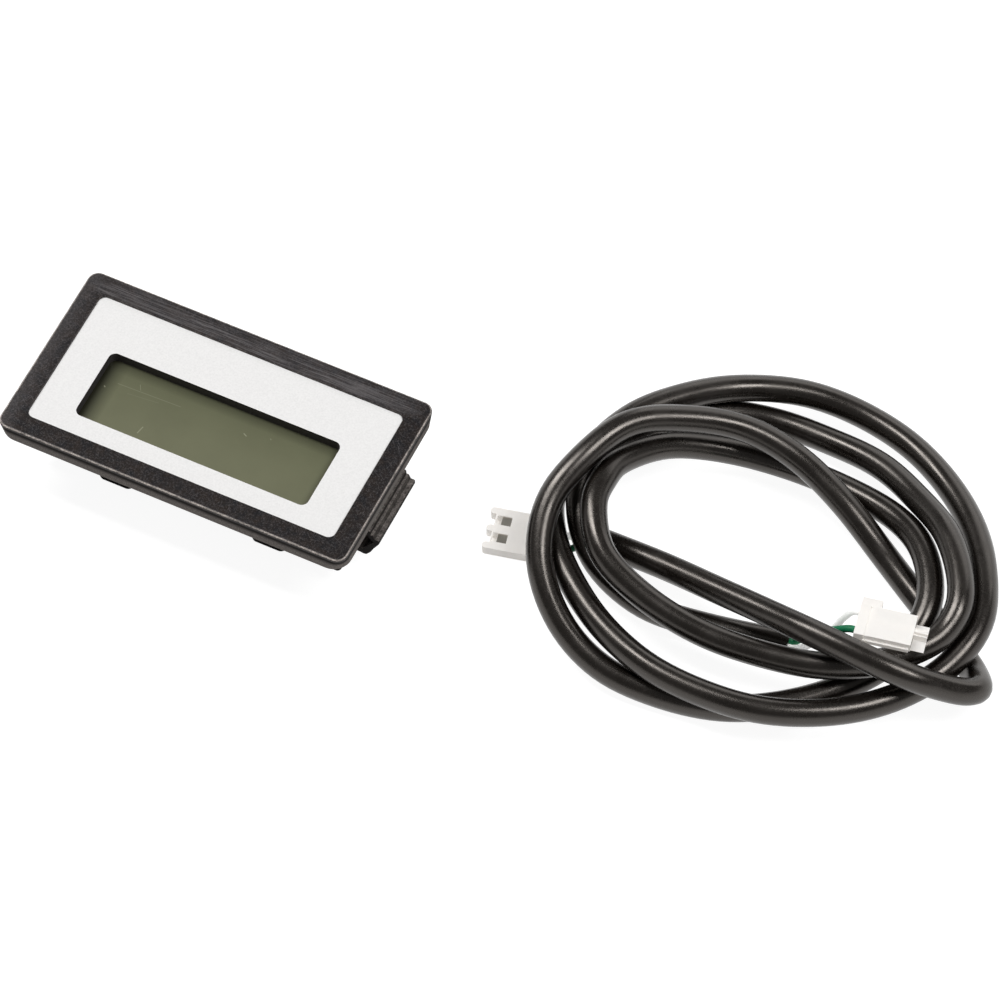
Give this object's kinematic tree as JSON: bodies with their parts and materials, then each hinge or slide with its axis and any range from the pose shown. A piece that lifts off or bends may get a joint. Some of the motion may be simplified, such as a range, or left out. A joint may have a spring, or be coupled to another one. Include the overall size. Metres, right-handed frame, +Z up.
{
  "type": "tachometer",
  "caption": "Panel-mount digital tachometer head with snap-in clips, an unlit rectangular display and a loose two-wire plug-in lead.",
  "frame": {"origin": "under the middle of the head, on the surface that its rear feet stand on; the loose lead isn't counted", "axes": "+X along the head's long side toward the lead, +Y toward the head's far long edge, +Z up out of the bezel face"},
  "size_m": [0.1211, 0.053, 0.0135],
  "materials": {
    "case_black": "fine satin moulded black",
    "faceplate_silver": "satin off-white with a fine grain",
    "polariser": "grey-green film",
    "display_glass": "clear",
    "reflector": "matt grey-green",
    "frame_white": "moulded white",
    "contact_rubber": "dark silicone",
    "board_green": "green solder mask",
    "screw_steel": "plated",
    "chip_black": "black moulding",
    "tin": "tinned",
    "can_steel": "bright can",
    "ceramic_tan": "tan ceramic",
    "pad_gold": "plated",
    "header_ivory": "ivory moulding",
    "foot_rubber": "matt black",
    "jacket_black": "semi-gloss black jacket",
    "wire_green": "green insulation",
    "wire_white": "white insulation",
    "plug_white": "white moulding"
  },
  "bodies": {
    "root": {"bezel_case": "case_black", "faceplate": "faceplate_silver", "lcd_front_polariser": "polariser", "lcd_front_glass": "display_glass", "lcd_rear_glass": "display_glass", "lcd_reflector": "reflector", "lcd_frame": "frame_white", "zebra_strip": "contact_rubber", "circuit_board": "board_green", "board_screw_1": "screw_steel", "board_screw_2": "screw_steel", "controller_chip": "chip_black", "chip_leads": "tin", "crystal": "can_steel", "capacitor_1": "ceramic_tan", "capacitor_2": "ceramic_tan", "capacitor_3": "ceramic_tan", "resistor_1": "chip_black", "resistor_2": "chip_black", "resistor_3": "chip_black", "resistor_4": "chip_black", "coin_cell": "can_steel", "cell_clip": "tin", "cell_pad": "pad_gold", "header_base": "header_ivory", "header_pin_1": "tin", "header_pin_2": "tin", "rear_cover": "case_black", "cover_screw_1": "screw_steel", "cover_screw_2": "screw_steel", "cover_screw_3": "screw_steel", "cover_screw_4": "screw_steel", "foot_pad_1": "foot_rubber", "foot_pad_2": "foot_rubber", "foot_pad_3": "foot_rubber", "foot_pad_4": "foot_rubber", "lead_jacket": "jacket_black", "wire_a_green": "wire_green", "wire_a_white": "wire_white", "plug_a": "plug_white", "contact_a_1": "tin", "contact_a_2": "tin", "wire_b_green": "wire_green", "wire_b_white": "wire_white", "plug_b": "plug_white", "contact_b_1": "tin", "contact_b_2": "tin"}
  },
  "joints": []
}
